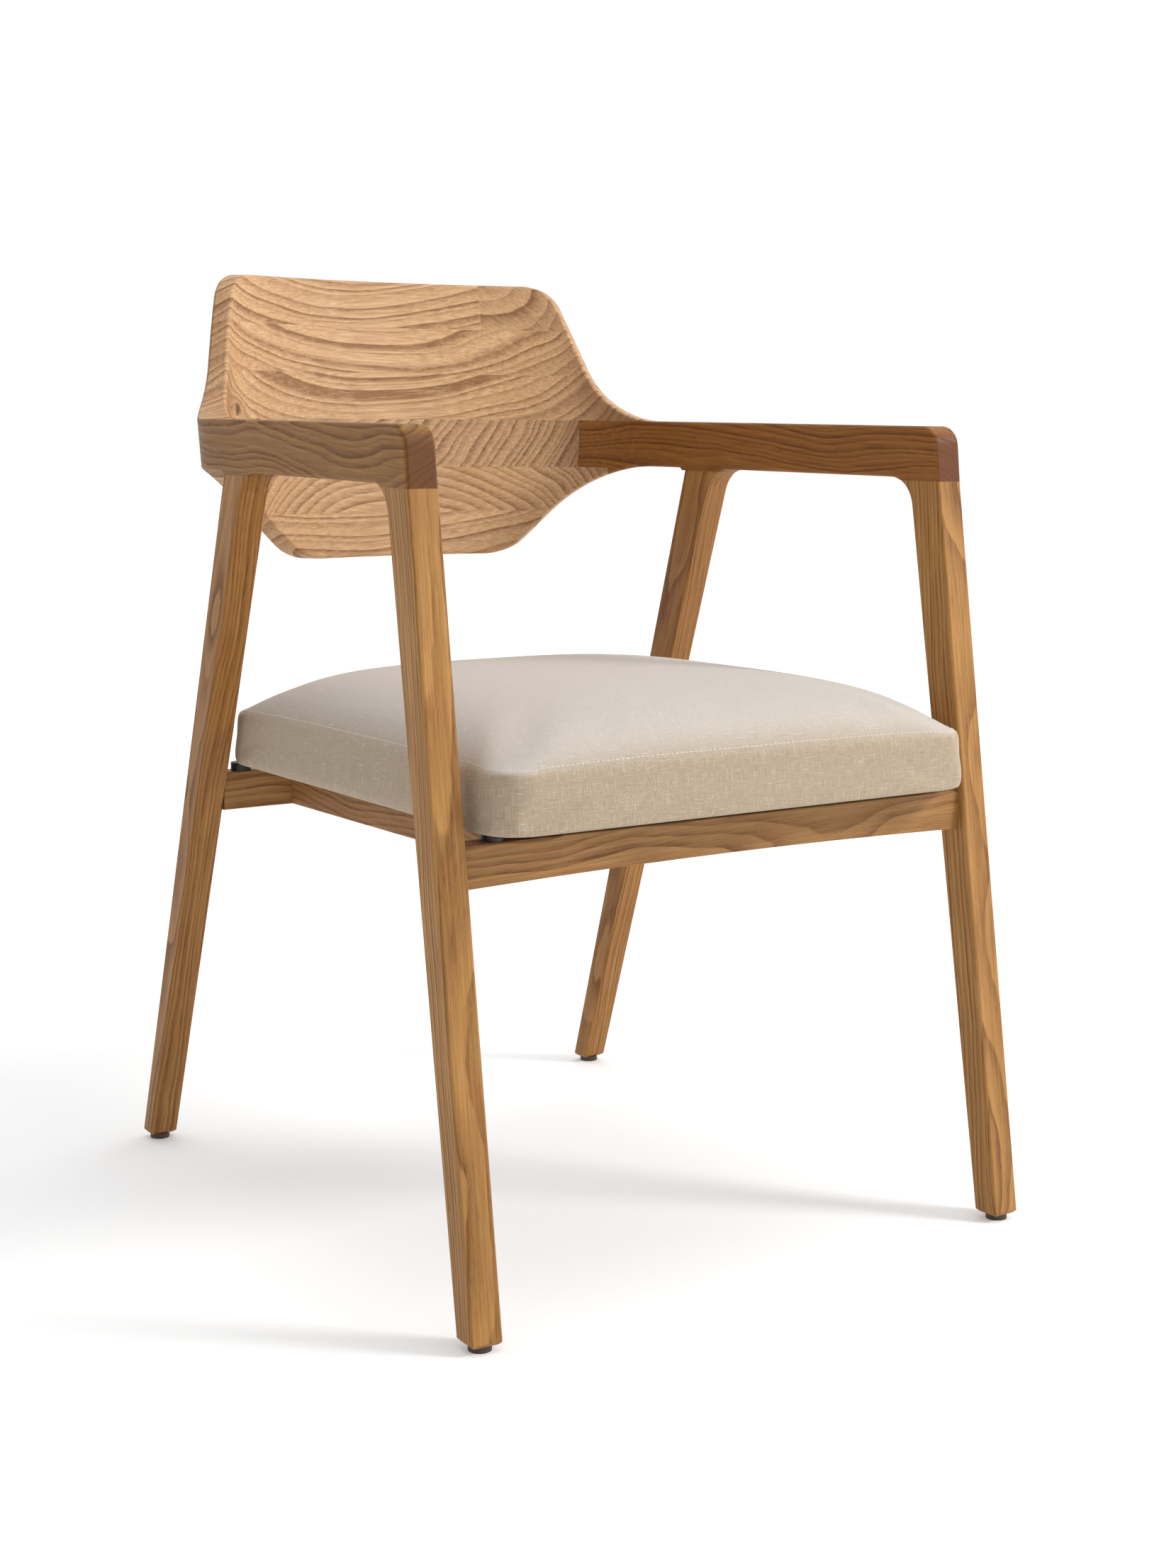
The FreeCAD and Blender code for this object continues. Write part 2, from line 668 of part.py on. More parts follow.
def make_dowels(rounded):
    """All dowel groups by name."""
    groups = {}
    tops = []
    up = crown_place().Rotation.multVec(Z_AXIS)
    for kind in ("fleg", "rleg"):
        for side in (-1, 1):
            place = leg_place(kind, side)
            for shift in (-0.5, 0.5):
                base = place.multVec(V(0, shift * size("dowel_pitch"), 0))
                base = seam_point(base.x, base.y)
                tops.append(add_cylinder("top_dowel", "@dowel_radius", "@dowel_length", base, up))
    groups["leg_top_dowels"] = group("leg_top_dowels", tops)
    for end, kind in (("front", "fleg"), ("rear", "rleg")):
        pins = []
        for side in (-1, 1):
            inward = inner_face(kind, side)[1]
            for level in rail_levels():
                base = on_inner_face(kind, side, rail_mid_y(end), level)
                pins.append(add_cylinder("rail_dowel", "@dowel_radius", "@rail_dowel_length",
                                         base, inward))
        groups[end + "_rail_dowels"] = group(end + "_rail_dowels", pins)
    pins = []
    faces = ((size("front_rail_y") + size("rail_thick"), 1), (size("rear_rail_y"), -1))
    middle_x = size("side_rail_x") - size("rail_thick") / 2
    for side in (-1, 1):
        for y, towards in faces:
            for level in rail_levels():
                base = V(side * middle_x, y + towards * size("side_dowel_shift"), level)
                pins.append(add_cylinder("side_dowel", "@dowel_radius", "@dowel_length", base, Y_AXIS))
    groups["side_rail_dowels"] = group("side_rail_dowels", pins)
    pins = []
    for side in (-1, 1):
        centre = mitre_centre(rounded, side)
        across = crown_place().Rotation.multVec(V(side * math.sqrt(0.5), -math.sqrt(0.5), 0))
        for shift in (-0.5, 0.5):
            rise = shift * size("dowel_pitch")
            base = crown_place().multVec(centre + V(0, size("rake") * rise, rise))
            pins.append(add_cylinder("mitre_dowel", "@dowel_radius", "@mitre_dowel_length",
                                     base, across))
    groups["mitre_dowels"] = group("mitre_dowels", pins)
    return groups


def spacer_spots():
    """Plan position of the four spacers, which are also the seat screws."""
    spots = []
    for end in ("front", "rear"):
        y = size(end + "_rail_y") + size(end + "_spacer_back")
        for side, word in ((-1, "left"), (1, "right")):
            spots.append((end + "_" + word, side * size("spacer_x"), y))
    return spots


def make_screws():
    screws = []
    for name, x, y in spacer_spots():
        top = size("seat_bottom") + size("screw_bite")
        foot = V(x, y, size("rail_bottom") + size("bore_depth"))
        head = add_cylinder("screw_head_" + name, "@screw_head_radius", "@screw_head_height",
                            foot, Z_AXIS, 1.0)
        shank = add_cylinder("screw_shank_" + name, "@screw_radius",
                             "@seat_bottom + @screw_bite - @rail_bottom - @bore_depth + 1",
                             V(x, y, top), Z_AXIS, 1.0)
        screw = doc.addObject("Part::Fuse", "screw_" + name)
        screw.Base = head
        screw.Tool = shank
        screws.append(screw)
    return group("seat_screws", screws)


# ---------------------------------------------------------------- rails

def trim_end(body, name, kind, side):
    """Cut a rail off along the inner face of a leg."""
    base, inward = inner_face(kind, side)
    turn = FreeCAD.Rotation(Z_AXIS, inward)
    sketch = new_sketch(body, name, "XY_Plane", FreeCAD.Placement(base, turn))
    draw_rectangle(sketch, -900, -900, 900, 900)
    return cut_away(body, sketch, name + "_trim")


def make_cross_rail(end, kind):
    """Rail between two legs, with bores for the seat screws; the front one has an arched underside."""
    name = "rail_" + end
    body = new_body(name + "_blank")
    sketch = new_sketch(body, name + "_plan", "XY_Plane",
                        FreeCAD.Placement(V(0, 0, size("rail_bottom")), FreeCAD.Rotation()))
    y = size(end + "_rail_y")
    draw_rectangle(sketch, -300, y, 300, y + size("rail_thick"))
    bar = pad(body, sketch, name + "_bar", "@rail_top - @rail_bottom")
    doc.recompute()
    eased = dress(body, "Fillet", name + "_eased", bar,
                  edge_names(bar.Shape, lambda e: e.Length > 500), "@rail_round")
    doc.recompute()
    last = eased
    if end == "front":
        half = on_inner_face(kind, 1, rail_mid_y(end), size("rail_bottom")).x
        rise = size("front_rail_rise")
        arch = new_sketch(body, name + "_arch", "XZ_Plane")
        low = size("rail_bottom")
        ends = [V(-half - 20, low, 0), V(0, low + rise, 0), V(half + 20, low, 0)]
        draw_wire(arch, [Part.Arc(*ends), Part.LineSegment(ends[2], V(half + 20, low - 10, 0)),
                         Part.LineSegment(V(half + 20, low - 10, 0), V(-half - 20, low - 10, 0)),
                         Part.LineSegment(V(-half - 20, low - 10, 0), ends[0])])
        last = cut_away(body, arch, name + "_arched")
        last.Midplane = True
        doc.recompute()
    for side, word in ((-1, "left"), (1, "right")):
        last = trim_end(body, name + "_" + word, kind, side)
        doc.recompute()
    bores = new_sketch(body, name + "_bores", "XY_Plane",
                       FreeCAD.Placement(V(0, 0, size("rail_bottom")), FreeCAD.Rotation()))
    for side in (-1, 1):
        spot = V(side * size("spacer_x"), y + size(end + "_spacer_back"), 0)
        bores.addGeometry(Part.Circle(spot, Z_AXIS, size("bore_radius")), False)
        bores.addConstraint(Sketcher.Constraint("Block", bores.GeometryCount - 1))
    body.Tip = cut_away(body, bores, name + "_bored", reverse=True, depth="@bore_depth")
    doc.recompute()
    return body


def make_side_rail(side, word):
    name = "rail_side_" + word
    body = new_body(name + "_blank")
    sketch = new_sketch(body, name + "_plan", "XY_Plane",
                        FreeCAD.Placement(V(0, 0, size("rail_bottom")), FreeCAD.Rotation()))
    outer = side * size("side_rail_x")
    inner = outer - side * size("rail_thick")
    draw_rectangle(sketch, min(inner, outer), size("front_rail_y") + size("rail_thick"),
                   max(inner, outer), size("rear_rail_y"))
    bar = pad(body, sketch, name + "_bar", "@rail_top - @rail_bottom")
    doc.recompute()
    body.Tip = dress(body, "Fillet", name + "_eased", bar,
                     edge_names(bar.Shape, lambda e: e.Length > 200), "@rail_round")
    doc.recompute()
    return body


# ---------------------------------------------------------------- seat

def seat_outline(inset, radius):
    """Rounded trapezoid of the seat, moved in by inset, as lines and arcs."""
    front, rear = size("seat_front_y") + inset, size("seat_rear_y") - inset
    wide, narrow = size("seat_front_half") - inset, size("seat_rear_half") - inset
    corners = [V(-wide, front, 0), V(wide, front, 0), V(narrow, rear, 0), V(-narrow, rear, 0)]
    pieces = []
    marks = []
    for i, corner in enumerate(corners):
        back = corners[i - 1] - corner
        ahead = corners[(i + 1) % 4] - corner
        back.normalize()
        ahead.normalize()
        start, centre, end = flare_arc(corner, back, ahead, radius)
        middle = (start - centre) + (end - centre)
        middle.normalize()
        marks.append((start, centre + middle * radius, end))
    for i, mark in enumerate(marks):
        pieces.append(Part.Arc(*mark))
        pieces.append(Part.LineSegment(mark[2], marks[(i + 1) % 4][0]))
    return pieces


def flat_offset(z):
    return FreeCAD.Placement(V(0, 0, z), FreeCAD.Rotation())


def make_cushion():
    """Upholstered block with a boxing band, a domed top and a recess for the panel."""
    body = new_body("seat_cushion_blank")
    boxing_top = size("seat_bottom") + size("seat_boxing")
    base = new_sketch(body, "seat_band_plan", "XY_Plane", flat_offset(size("seat_bottom")))
    draw_wire(base, seat_outline(0.0, size("seat_corner")))
    pad(body, base, "seat_band", "@seat_boxing")
    sections = []
    for share, inset, radius in ((0.0, 0.0, 1.0), (0.42, 9.0, 1.0), (0.78, 34.0, 1.6), (1.0, 92.0, 2.4)):
        level = boxing_top + share * size("seat_crown")
        sketch = new_sketch(body, "seat_section", "XY_Plane", flat_offset(level))
        draw_wire(sketch, seat_outline(inset, radius * size("seat_corner")))
        sections.append(sketch)
    dome = body.newObject("PartDesign::AdditiveLoft", "seat_dome")
    dome.Profile = sections[0]
    dome.Sections = sections[1:]
    dome.Ruled = False
    doc.recompute()
    recess = new_sketch(body, "seat_recess_plan", "XY_Plane", flat_offset(size("seat_bottom")))
    draw_wire(recess, seat_outline(size("panel_inset"), size("seat_corner") - size("panel_inset")))
    body.Tip = cut_away(body, recess, "seat_recess", reverse=True, depth="@panel_thick")
    doc.recompute()
    return body


def make_panel():
    body = new_body("seat_panel_blank")
    plan = new_sketch(body, "seat_panel_plan", "XY_Plane", flat_offset(size("seat_bottom")))
    draw_wire(plan, seat_outline(size("panel_inset"), size("seat_corner") - size("panel_inset")))
    body.Tip = pad(body, plan, "seat_panel_board", "@panel_thick")
    doc.recompute()
    return body


# ---------------------------------------------------------------- spacers and glides

def make_glide(name, centre):
    """Disc under a foot with a pin up into the wood."""
    disc = add_cylinder(name + "_disc", "@glide_radius", "@glide_height", V(centre.x, centre.y, 0),
                        Z_AXIS, 0.0)
    pin = add_cylinder(name + "_pin", "@glide_pin_radius", "@glide_pin_length + @glide_height",
                       V(centre.x, centre.y, 0), Z_AXIS, 0.0)
    glide = doc.addObject("Part::Fuse", name)
    glide.Label = name
    glide.Base = disc
    glide.Tool = pin
    return glide


def add_piece(name, base, tool):
    """A blank with the holes for its fasteners taken out."""
    piece = doc.addObject("Part::Cut", name)
    piece.Label = name
    piece.Base = base
    piece.Tool = tool
    return piece


# ---------------------------------------------------------------- build

carved, walls = carve_crown()
rounded = ease_crown(carved, walls)
nodes = make_dowels(rounded)
nodes["seat_screws"] = make_screws()

for kind, word in (("fleg", "front"), ("rleg", "rear")):
    for side, hand in ((-1, "left"), (1, "right")):
        name = "glide_" + word + "_" + hand
        nodes[name] = make_glide(name, foot_centre(kind, side))
doc.recompute()
fasteners = doc.addObject("Part::Compound", "fasteners")
fasteners.Links = list(nodes.values())
doc.recompute()

blanks = {}
for kind, word in (("fleg", "front"), ("rleg", "rear")):
    for side, hand in ((-1, "left"), (1, "right")):
        name = "leg_" + word + "_" + hand
        blanks[name] = make_leg(name, kind, side)
for end, kind in (("front", "fleg"), ("rear", "rleg")):
    blanks["rail_" + end] = make_cross_rail(end, kind)
for side, hand in ((-1, "left"), (1, "right")):
    blanks["rail_side_" + hand] = make_side_rail(side, hand)
blanks["seat_cushion"] = make_cushion()
blanks["seat_panel"] = make_panel()
for name, x, y in spacer_spots():
    blanks["spacer_" + name] = add_cylinder("spacer_" + name + "_blank", "@spacer_radius",
                                            "@seat_bottom - @rail_top", V(x, y, size("rail_top")),
                                            Z_AXIS, 0.0)
for name, shape in crown_pieces(rounded).items():
    blank = doc.addObject("Part::Feature", name + "_blank")
    blank.Shape = shape
    blank.Placement = crown_place()
    blanks[name] = blank
for name, blank in blanks.items():
    nodes[name] = add_piece(name, blank, fasteners)
doc.recompute()

for obj in doc.Objects:
    if "Invalid" in obj.State or "Error" in obj.State:
        raise SystemExit("not computed: " + obj.Name)
for name, node in nodes.items():
    if node.Shape.isNull() or not node.Shape.isValid() or not node.Shape.Solids:
        raise SystemExit("bad shape: " + name)

os.makedirs("parts", exist_ok=True)
for name, node in nodes.items():
    node.Shape.exportStep("parts/%s.step" % name)
    print("%-22s %d solids %12.1f mm3" % (name, len(node.Shape.Solids), node.Shape.Volume))
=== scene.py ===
import bpy
import bmesh
import math
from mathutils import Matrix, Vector, noise
from mathutils.bvhtree import BVHTree


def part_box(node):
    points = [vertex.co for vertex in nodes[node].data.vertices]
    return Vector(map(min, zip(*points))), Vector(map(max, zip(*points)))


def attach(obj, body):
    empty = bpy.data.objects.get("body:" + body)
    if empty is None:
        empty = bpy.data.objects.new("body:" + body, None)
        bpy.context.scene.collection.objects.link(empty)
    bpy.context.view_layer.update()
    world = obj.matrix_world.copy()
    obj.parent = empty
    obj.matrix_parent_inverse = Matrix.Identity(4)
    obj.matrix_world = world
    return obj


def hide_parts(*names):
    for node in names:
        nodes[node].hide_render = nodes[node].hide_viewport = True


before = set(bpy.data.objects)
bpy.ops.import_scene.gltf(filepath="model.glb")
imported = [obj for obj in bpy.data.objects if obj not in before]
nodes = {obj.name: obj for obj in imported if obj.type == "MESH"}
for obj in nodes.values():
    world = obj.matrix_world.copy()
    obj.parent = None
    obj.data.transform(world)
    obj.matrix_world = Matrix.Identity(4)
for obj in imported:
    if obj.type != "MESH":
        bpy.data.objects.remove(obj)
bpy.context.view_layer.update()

scene = bpy.context.scene


# ---------------------------------------------------------------- shader helpers

class Graph:
    """Short names for building a node tree."""

    def __init__(self, tree):
        self.tree = tree
        self.x = 0

    def node(self, kind, **settings):
        made = self.tree.nodes.new(kind)
        for name, value in settings.items():
            setattr(made, name, value)
        self.x += 180
        made.location = (self.x, 0)
        return made

    def feed(self, socket, value):
        if isinstance(value, bpy.types.NodeSocket):
            self.tree.links.new(value, socket)
        elif value is not None:
            socket.default_value = value

    def math(self, operation, a, b=None, c=None, clamp=False):
        made = self.node("ShaderNodeMath", operation=operation, use_clamp=clamp)
        for socket, value in zip(made.inputs, (a, b, c)):
            self.feed(socket, value)
        return made.outputs[0]

    def vector(self, operation, a, b=None):
        made = self.node("ShaderNodeVectorMath", operation=operation)
        self.feed(made.inputs[0], a)
        if b is not None:
            self.feed(made.inputs[1], b)
        return made.outputs["Value"] if operation in ("DOT_PRODUCT", "LENGTH") else made.outputs[0]

    def combine(self, x, y, z):
        made = self.node("ShaderNodeCombineXYZ")
        for socket, value in zip(made.inputs, (x, y, z)):
            self.feed(socket, value)
        return made.outputs[0]

    def noise(self, vector, scale, detail=2.0, roughness=0.5, dimensions="3D", w=None):
        made = self.node("ShaderNodeTexNoise", noise_dimensions=dimensions)
        if vector is not None:
            self.feed(made.inputs["Vector"], vector)
        if w is not None:
            self.feed(made.inputs["W"], w)
        made.inputs["Scale"].default_value = scale
        made.inputs["Detail"].default_value = detail
        made.inputs["Roughness"].default_value = roughness
        return made.outputs[0]

    def mix(self, factor, a, b, blend="MIX"):
        made = self.node("ShaderNodeMix", data_type="RGBA", blend_type=blend)
        self.feed(made.inputs["Factor"], factor)
        self.feed(made.inputs[6], a)
        self.feed(made.inputs[7], b)
        return made.outputs[2]

    def range(self, value, low, high, to_low, to_high, smooth=False):
        made = self.node("ShaderNodeMapRange", interpolation_type="SMOOTHSTEP" if smooth else "LINEAR")
        for socket, entry in zip(made.inputs, (value, low, high, to_low, to_high)):
            self.feed(socket, entry)
        return made.outputs[0]


def new_material(name):
    material = bpy.data.materials.new(name)
    material.use_nodes = True
    material.node_tree.nodes.clear()
    graph = Graph(material.node_tree)
    shader = graph.node("ShaderNodeBsdfPrincipled")
    output = graph.node("ShaderNodeOutputMaterial")
    graph.feed(output.inputs["Surface"], shader.outputs[0])
    return material, graph, shader


def rgb(colour):
    return (*colour, 1.0)


# ---------------------------------------------------------------- wood

PALE = (0.770, 0.480, 0.262)
MID = (0.540, 0.295, 0.126)
DARK = (0.285, 0.128, 0.050)


def ash(name, along, centre, pitch=0.0046, tint=(1.0, 1.0, 1.0), seed=0.0, warp=1.0, contrast=1.0,
        end_dark=0.62, knots=()):
    """Ash board: growth rings round a log axis, pores drawn out along the grain, oiled satin.

    along is the grain direction, centre a point on the axis of the log the board was cut from."""
    material, graph, shader = new_material(name)
    along = Vector(along).normalized()
    side = along.cross(Vector((0, 0, 1)) if abs(along.z) < 0.8 else Vector((0, 1, 0))).normalized()
    third = along.cross(side)
    place = graph.node("ShaderNodeTexCoord").outputs["Object"]
    local = graph.vector("SUBTRACT", place, tuple(centre))
    length = graph.vector("DOT_PRODUCT", local, tuple(along))
    across = graph.vector("DOT_PRODUCT", local, tuple(side))
    depth = graph.vector("DOT_PRODUCT", local, tuple(third))

    # slow wander of the rings, longer along the grain than across it
    wander = graph.combine(graph.math("MULTIPLY", across, 11.0), graph.math("MULTIPLY", depth, 11.0),
                           graph.math("MULTIPLY_ADD", length, 4.6, seed))
    slow = graph.noise(wander, 1.0, 1.5, 0.45)
    ripple = graph.combine(graph.math("MULTIPLY", across, 46.0), graph.math("MULTIPLY", depth, 46.0),
                           graph.math("MULTIPLY_ADD", length, 19.0, seed + 3.1))
    quick = graph.noise(ripple, 1.0, 2.0, 0.5)
    radius = graph.vector("LENGTH", graph.combine(across, depth, 0.0))
    radius = graph.math("MULTIPLY_ADD", graph.math("SUBTRACT", slow, 0.5), 0.046 * warp, radius)
    radius = graph.math("MULTIPLY_ADD", graph.math("SUBTRACT", quick, 0.5), 0.0042 * warp, radius)
    for spot, reach in knots:
        away = graph.vector("LENGTH", graph.vector("SUBTRACT", place, spot))
        bump = graph.math("POWER", graph.range(away, 0.0, reach * 4.0, 1.0, 0.0, True), 2.0)
        radius = graph.math("MULTIPLY_ADD", bump, reach * 2.4, radius)

    # rings of uneven width
    uneven = graph.noise(None, 1.0, 1.0, 0.5, "1D", graph.math("MULTIPLY_ADD", radius, 62.0, seed * 7.0))
    count = graph.math("DIVIDE", radius, pitch)
    count = graph.math("MULTIPLY_ADD", uneven, 1.7, count)
    phase = graph.math("FRACT", count)
    ring_id = graph.math("FLOOR", count)
    strength = graph.noise(None, 1.0, 0.0, 0.5, "1D", graph.math("MULTIPLY_ADD", ring_id, 0.73, seed))
    strength = graph.range(strength, 0.30, 0.72, 0.40, 1.0)

    # porous early wood: a dark line with one sharp and one soft flank
    rise = graph.range(phase, 0.0, 0.10, 0.0, 1.0, True)
    fall = graph.math("POWER", graph.math("SUBTRACT", 1.0, phase), 1.7)
    line = graph.math("MULTIPLY", graph.math("MULTIPLY", rise, fall), strength)
    streaks = graph.combine(graph.math("MULTIPLY", across, 380.0), graph.math("MULTIPLY", depth, 380.0),
                            graph.math("MULTIPLY_ADD", length, 16.0, seed))
    streak = graph.noise(streaks, 1.0, 3.0, 0.65)
    line = graph.math("MULTIPLY", line, graph.range(streak, 0.30, 0.70, 0.75, 2.00), clamp=True)

    stretched = graph.combine(graph.math("MULTIPLY", across, 1500.0), graph.math("MULTIPLY", depth, 1500.0),
                              graph.math("MULTIPLY", length, 75.0))
    pores = graph.noise(stretched, 1.0, 2.0, 0.6)
    pore = graph.range(pores, 0.52, 0.66, 0.0, 1.0, True)
    pore = graph.math("MULTIPLY", pore, graph.math("MULTIPLY_ADD", line, 0.85, 0.10))
    fibres = graph.combine(graph.math("MULTIPLY", across, 620.0), graph.math("MULTIPLY", depth, 620.0),
                           graph.math("MULTIPLY", length, 14.0))
    fibre = graph.noise(fibres, 1.0, 3.0, 0.62)
    patch = graph.noise(graph.vector("MULTIPLY", local, (9.0, 9.0, 9.0)), 1.0, 2.0, 0.5)

    base = graph.mix(graph.range(fibre, 0.34, 0.70, 0.0, 1.0), rgb(PALE), rgb(MID))
    base = graph.mix(graph.range(streak, 0.50, 0.72, 0.0, 0.35, True), base, rgb([c * 0.72 for c in MID]))
    base = graph.mix(graph.range(patch, 0.35, 0.68, 0.0, 0.34, True), base, rgb([c * 0.80 for c in MID]))
    base = graph.mix(graph.math("MULTIPLY", line, 0.92 * contrast, clamp=True), base, rgb(DARK))
    base = graph.mix(graph.math("MULTIPLY", pore, 0.62, clamp=True), base, rgb([c * 0.50 for c in DARK]))
    for spot, reach in knots:
        away = graph.vector("LENGTH", graph.vector("SUBTRACT", place, spot))
        heart = graph.range(away, reach * 0.35, reach * 1.25, 1.0, 0.0, True)
        base = graph.mix(graph.math("MULTIPLY", heart, 0.86), base, rgb((0.085, 0.036, 0.016)))

    # end grain drinks more oil
    normal = graph.node("ShaderNodeNewGeometry").outputs["Normal"]
    facing = graph.math("ABSOLUTE", graph.vector("DOT_PRODUCT", normal, tuple(along)))
    end = graph.range(facing, 0.55, 0.98, 0.0, end_dark, True)
    base = graph.mix(end, base, rgb((0.230, 0.092, 0.040)), "MIX")
    base = graph.mix(1.0, base, rgb(tint), "MULTIPLY")

    graph.feed(shader.inputs["Base Color"], base)
    rough = graph.math("MULTIPLY_ADD", line, 0.10, 0.43)
    rough = graph.math("MULTIPLY_ADD", fibre, 0.12, rough)
    graph.feed(shader.inputs["Roughness"], rough)
    shader.inputs["Specular IOR Level"].default_value = 0.26
    relief = graph.math("MULTIPLY_ADD", pore, -1.0, graph.math("MULTIPLY", fibre, 0.35))
    bump = graph.node("ShaderNodeBump")
    bump.inputs["Strength"].default_value = 0.22
    bump.inputs["Distance"].default_value = 0.0006
    graph.feed(bump.inputs["Height"], relief)
    graph.feed(shader.inputs["Normal"], bump.outputs[0])
    return material


def paint(name, material):
    thing = nodes[name]
    thing.data.materials.clear()
    thing.data.materials.append(material)


def paint_ash(name, **settings):
    paint(name, ash("ash_" + name, **settings))


ROW_TINT = (0.94, 0.96, 1.00)
# per row: grain direction, log axis behind the row, log axis above its middle, ring pitch, seed,
# wander of the rings, brightness
ROWS = {
    "back_row_1_left": ((1.0, 0.02, 0.06), 0.052, 0.085, 0.0074, 1.3, 0.55, 1.0),
    "back_row_1_right": ((1.0, -0.12, -0.55), 0.040, 0.080, 0.0066, 6.1, 0.60, 0.92),
    "back_row_2": ((1.0, 0.03, -0.02), 0.054, 0.088, 0.0078, 2.6, 0.60, 1.02),
    "back_row_3": ((1.0, -0.02, 0.05), 0.050, 0.090, 0.0080, 4.2, 0.62, 1.0),
    "back_row_4": ((1.0, 0.22, 0.10), 0.120, 0.060, 0.0050, 7.7, 0.80, 0.84),
    "back_row_5": ((1.0, 0.00, 0.03), 0.140, -0.100, 0.0040, 9.4, 0.45, 1.0),
    "back_row_6": ((1.0, 0.03, 0.08), 0.044, 0.115, 0.0076, 12.8, 0.70, 1.0),
}
# a knot: how far from the row's left end, from its rearmost point and above its lower joint, and size
KNOTS = {"back_row_3": (0.0646, 0.0744, 0.0102, 0.0066)}
for row, (along, behind, above, pitch, seed, warp, tone) in ROWS.items():
    low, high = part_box(row)
    knots = []
    if row in KNOTS:
        from_end, from_rear, above_joint, reach = KNOTS[row]
        knots.append(((low[0] + from_end, high[1] - from_rear, low[2] + above_joint), reach))
    paint_ash(row, along=along, centre=Vector((0.02, high[1] + behind, (low[2] + high[2]) / 2 + above)),
              pitch=pitch, seed=seed, warp=warp, tint=[c * tone for c in ROW_TINT], knots=knots)

# the arm tints hold the wood's colour together with painted shade: both arms are darker than the legs and
# back, and the right arm is redder than the left, standing in for how light falls on each
ARM_TINT_AND_SHADE = {"left": (0.435, 0.335, 0.120), "right": (0.480, 0.320, 0.125)}
for word, side in (("left", -1), ("right", 1)):
    low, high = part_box("arm_" + word)
    paint_ash("arm_" + word, along=(side * -0.07, 1.0, 0.055),
              centre=Vector((side * 0.200, 0.0, low[2] - 0.050)), pitch=0.0050, seed=20.0 + side * 3.3,
              tint=ARM_TINT_AND_SHADE[word], end_dark=0.85)
    paint_ash("leg_front_" + word, along=(0.012 * side, -0.130, -1.0),
              centre=Vector((side * 0.266, -0.165, 0.62)), pitch=0.0042, seed=30.0 + side * 2.1, warp=0.62,
              tint=(0.67, 0.570, 0.330))
    paint_ash("leg_rear_" + word, along=(0.024 * side, 0.34, -0.94),
              centre=Vector((side * 0.280, 0.095, 0.62)), pitch=0.0044, seed=40.0 + side * 1.7, warp=0.7,
              tint=(0.57, 0.450, 0.235))
    low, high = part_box("rail_side_" + word)
    paint_ash("rail_side_" + word, along=(0.0, 1.0, 0.02),
              centre=Vector((low[0] - 0.05, 0.0, low[2] - 0.03)), pitch=0.0042,
              seed=50.0 + side, warp=0.7, tint=(0.60, 0.500, 0.350))
for word in ("front", "rear"):
    low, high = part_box("rail_" + word)
    paint_ash("rail_" + word, along=(1.0, 0.02, 0.035),
              centre=Vector((0.0, high[1] + 0.045, low[2] - 0.012)), pitch=0.0050, seed=60.0 + len(word),
              warp=0.9, tint=(0.60, 0.520, 0.360))
plain = ash("beech_dowel", along=(1, 0, 0), centre=Vector((0, 0.1, 0.2)), seed=70.0, contrast=0.3,
            end_dark=0.2)
for name in ("leg_top_dowels", "front_rail_dowels", "rear_rail_dowels", "side_rail_dowels", "mitre_dowels"):
    paint(name, plain)
paint_ash("seat_panel", along=(1, 0, 0), centre=Vector((0, 0.0, -0.9)), seed=80.0, pitch=0.012,
          contrast=0.4, end_dark=0.2)


# ---------------------------------------------------------------- plastic and steel

def plastic(name, colour, seed):
    material, graph, shader = new_material(name)
    place = graph.node("ShaderNodeTexCoord").outputs["Object"]
    grain = graph.noise(place, 900.0 + seed, 3.0, 0.6)
    scuff = graph.noise(place, 140.0 + seed, 4.0, 0.65)
    worn = rgb([c * 2.2 + 0.02 for c in colour])
    tone = graph.mix(graph.range(scuff, 0.45, 0.75, 0.0, 0.5), rgb(colour), worn)
    graph.feed(shader.inputs["Base Color"], tone)
    graph.feed(shader.inputs["Roughness"], graph.range(grain, 0.3, 0.7, 0.42, 0.62))
    bump = graph.node("ShaderNodeBump")
    bump.inputs["Strength"].default_value = 0.15
    bump.inputs["Distance"].default_value = 0.0002
    graph.feed(bump.inputs["Height"], grain)
    graph.feed(shader.inputs["Normal"], bump.outputs[0])
    return material


def steel(name):
    material, graph, shader = new_material(name)
    place = graph.node("ShaderNodeTexCoord").outputs["Object"]
    grain = graph.noise(graph.vector("MULTIPLY", place, (600.0, 600.0, 60.0)), 1.0, 3.0, 0.6)
    tone = graph.mix(grain, rgb((0.45, 0.45, 0.44)), rgb((0.66, 0.66, 0.64)))
    graph.feed(shader.inputs["Base Color"], tone)
    graph.feed(shader.inputs["Roughness"], graph.range(grain, 0.3, 0.7, 0.28, 0.45))
    shader.inputs["Metallic"].default_value = 1.0
    return material


black = plastic("spacer_black", (0.012, 0.012, 0.012), 0.0)
brown = plastic("glide_brown", (0.050, 0.034, 0.022), 7.0)
for spot in ("front_left", "front_right", "rear_left", "rear_right"):
    paint("spacer_" + spot, black)
    paint("glide_" + spot, brown)
paint("seat_screws", steel("zinc"))

# ---------------------------------------------------------------- stage

